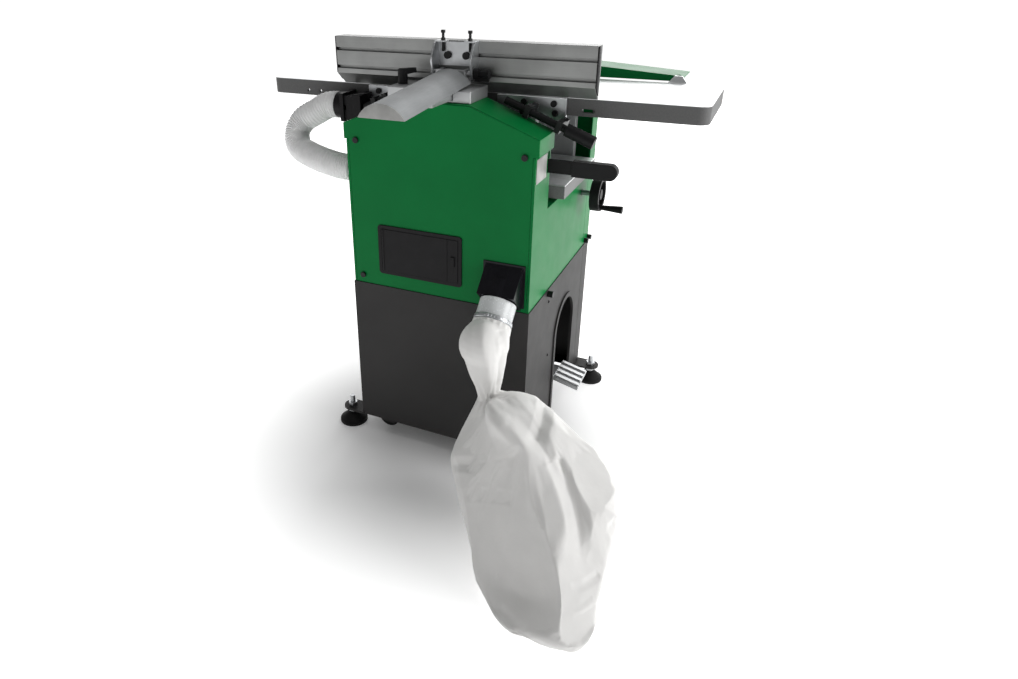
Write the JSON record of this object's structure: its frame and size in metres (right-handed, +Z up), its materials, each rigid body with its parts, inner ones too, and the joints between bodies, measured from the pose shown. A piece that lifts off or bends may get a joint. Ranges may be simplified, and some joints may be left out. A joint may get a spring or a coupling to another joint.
{
  "type": "planer thicknesser",
  "caption": "Free-standing combination planer thicknesser with fence, guards, liftable bed, handwheel, chip fan, suction hose and dust bag.",
  "frame": {"origin": "on the floor under the middle of the machine's bounding box, bag included", "axes": "+X along the tables towards the outfeed end, +Y from the fence and bag to the operator's side, +Z up"},
  "size_m": [1.08, 0.984, 1.039],
  "materials": {
    "green_paint": "gloss powder coat",
    "grey_paint": "textured powder coat",
    "black_steel": "satin paint",
    "cast_iron": "ground top, painted sides",
    "steel": "turned",
    "zinc_steel": "zinc plated",
    "aluminium": "extruded, natural",
    "black_plastic": "moulded",
    "black_rubber": "moulded",
    "brass": "turned",
    "clear_plastic": "clear, moulded",
    "hose_plastic": "translucent, ribbed",
    "bag_cloth": "woven filter cloth",
    "red_plastic": "moulded",
    "green_plastic": "moulded"
  },
  "bodies": {
    "frame": {"base_cabinet": "grey_paint", "base_front_panel": "grey_paint", "foot_studs": "zinc_steel", "foot_pads": "black_rubber", "upper_cabinet": "green_paint", "drive_cover": "green_paint", "drive_roof": "green_paint", "upper_front_panel": "green_paint", "cover_screws": "black_steel", "flap_frame": "black_plastic", "outlet_chute": "black_plastic", "outlet_collar": "clear_plastic", "hose_clamp": "zinc_steel", "chip_bag": "bag_cloth", "side_plates": "cast_iron", "cutter_bearings": "steel", "motor": "black_steel", "fan_housing": "zinc_steel", "drive_belt": "black_rubber", "outfeed_table": "cast_iron", "hinge_plates": "zinc_steel", "stay_rod": "black_steel", "column_sleeve": "cast_iron", "lift_bracket": "cast_iron", "fence_base": "aluminium", "chip_hood": "black_plastic", "suction_hose": "hose_plastic", "switch_box": "black_plastic"},
    "infeed": {"infeed_table": "cast_iron"},
    "cutter": {"cutterblock": "steel", "planer_knives": "steel"},
    "drive": {"motor_shaft": "steel", "fan_impeller": "aluminium"},
    "front_feed": {"front_roller": "steel"},
    "rear_feed": {"rear_roller": "black_rubber"},
    "fingers": {"kickback_fingers": "steel"},
    "wheel": {"handwheel": "black_plastic", "handwheel_shaft": "steel"},
    "crank": {"crank_handle": "black_plastic"},
    "bed": {"thicknesser_bed": "cast_iron", "bed_column": "steel", "lift_screw": "steel"},
    "nut": {"lift_nut": "brass"},
    "feed_control": {"feed_lever": "black_plastic"},
    "pedal": {"pedal_lever": "zinc_steel"},
    "lift_roll": {"lift_wheel": "black_rubber"},
    "castors": {"castor_wheels": "black_rubber"},
    "flap": {"flap_door": "black_plastic"},
    "lock": {"lock_rod": "black_steel"},
    "slide": {"fence_slide": "zinc_steel"},
    "tilt": {"fence": "aluminium", "tilt_bracket": "zinc_steel", "stop_screws": "black_steel"},
    "rear_cover": {"rear_guard": "aluminium"},
    "fence_lock": {"fence_lock_lever": "black_plastic"},
    "tilt_lock": {"tilt_knob": "black_plastic"},
    "arm": {"guard_arm": "green_paint"},
    "bridge": {"bridge_guard": "aluminium"},
    "start": {"start_button": "green_plastic"},
    "stop": {"stop_button": "red_plastic"}
  },
  "joints": [
    {"name": "infeed_depth", "type": "slide", "parent": "frame", "child": "infeed", "axis": [0, 0, -1], "range_m": [0, 0.003]},
    {"name": "motor_spin", "type": "hinge", "parent": "frame", "child": "drive", "pos_m": [-0.118, 0.238, 0.545], "axis": [0, 1, 0], "continuous": true},
    {"name": "cutter_spin", "type": "hinge", "parent": "frame", "child": "cutter", "pos_m": [0, 0.239, 0.87], "axis": [0, 1, 0], "continuous": true},
    {"name": "front_roller_spin", "type": "hinge", "parent": "frame", "child": "front_feed", "pos_m": [0.07, 0.239, 0.8495], "axis": [0, 1, 0], "continuous": true},
    {"name": "rear_roller_spin", "type": "hinge", "parent": "frame", "child": "rear_feed", "pos_m": [-0.07, 0.239, 0.8495], "axis": [0, 1, 0], "continuous": true},
    {"name": "kickback_swing", "type": "hinge", "parent": "frame", "child": "fingers", "pos_m": [0.13, 0.239, 0.858], "axis": [0, 1, 0], "range_deg": [0, 45]},
    {"name": "handwheel_turn", "type": "hinge", "parent": "frame", "child": "wheel", "pos_m": [0.271, 0.36, 0.618], "axis": [1, 0, 0], "range_deg": [-541, 10892]},
    {"name": "crank_spin", "type": "hinge", "parent": "wheel", "child": "crank", "pos_m": [0.312, 0.36, 0.583], "axis": [1, 0, 0], "continuous": true},
    {"name": "bed_lift", "type": "slide", "parent": "frame", "child": "bed", "axis": [0, 0, 1], "range_m": [-0.006, 0.121]},
    {"name": "nut_turn", "type": "hinge", "parent": "frame", "child": "nut", "pos_m": [0.12, 0.36, 0.618], "axis": [0, 0, 1], "range_deg": [-280, 5460]},
    {"name": "feed_lever_lift", "type": "hinge", "parent": "frame", "child": "feed_control", "pos_m": [0.119, 0.038, 0.769], "axis": [0, -1, 0], "range_deg": [0, 5]},
    {"name": "pedal_press", "type": "hinge", "parent": "frame", "child": "pedal", "pos_m": [0.06, 0.261, 0.12], "axis": [0, 1, 0], "range_deg": [0, 6], "stiffness_Nm_per_rad": 8, "springref_deg": -28.65},
    {"name": "lift_wheel_roll", "type": "hinge", "parent": "pedal", "child": "lift_roll", "pos_m": [0.165, 0.261, 0.04], "axis": [0, 1, 0], "continuous": true},
    {"name": "castor_roll", "type": "hinge", "parent": "frame", "child": "castors", "pos_m": [-0.167, 0.21, 0.034], "axis": [0, 1, 0], "continuous": true},
    {"name": "flap_open", "type": "hinge", "parent": "frame", "child": "flap", "pos_m": [-0.1416, -0.055, 0.545], "axis": [0, 0, -1], "range_deg": [0, 110]},
    {"name": "lock_pull", "type": "slide", "parent": "frame", "child": "lock", "axis": [0.9336, 0, -0.3584], "range_m": [0, 0.012], "stiffness_N_per_m": 400, "springref_m": -0.03},
    {"name": "fence_cross", "type": "slide", "parent": "frame", "child": "slide", "axis": [0, 1, 0], "range_m": [0, 0.1]},
    {"name": "fence_tilt", "type": "hinge", "parent": "slide", "child": "tilt", "pos_m": [0.004, 0.036, 0.953], "axis": [1, 0, 0], "range_deg": [0, 45]},
    {"name": "rear_guard_lift", "type": "hinge", "parent": "slide", "child": "rear_cover", "pos_m": [0.004, 0.008, 0.946], "axis": [-1, 0, 0], "range_deg": [0, 3.1]},
    {"name": "fence_clamp_turn", "type": "hinge", "parent": "frame", "child": "fence_lock", "pos_m": [-0.106, 0.004, 0.95], "axis": [0, 0, 1], "range_deg": [0, 90]},
    {"name": "tilt_clamp_turn", "type": "hinge", "parent": "slide", "child": "tilt_lock", "pos_m": [0.07, 0.036, 0.953], "axis": [1, 0, 0], "range_deg": [0, 180]},
    {"name": "guard_arm_raise", "type": "hinge", "parent": "frame", "child": "arm", "pos_m": [0.432, 0.4, 0.914], "axis": [0, 1, 0], "range_deg": [0, 10]},
    {"name": "bridge_guard_slide", "type": "slide", "parent": "arm", "child": "bridge", "axis": [0, 1, 0], "range_m": [0, 0.15]},
    {"name": "start_press", "type": "slide", "parent": "frame", "child": "start", "axis": [0, -1, 0], "range_m": [0, 0.003], "stiffness_N_per_m": 300, "springref_m": -0.003},
    {"name": "stop_press", "type": "slide", "parent": "frame", "child": "stop", "axis": [0, -1, 0], "range_m": [0, 0.003], "stiffness_N_per_m": 300, "springref_m": -0.003}
  ],
  "couplings": [
    {"joint": "cutter_spin", "follows": "motor_spin", "ratio": 2.5},
    {"joint": "rear_roller_spin", "follows": "front_roller_spin", "ratio": 1},
    {"joint": "handwheel_turn", "follows": "bed_lift", "rad_per_m": 1570.8},
    {"joint": "nut_turn", "follows": "bed_lift", "rad_per_m": 785.4},
    {"joint": "rear_guard_lift", "follows": "fence_cross", "rad_per_m": 0.5236}
  ]
}
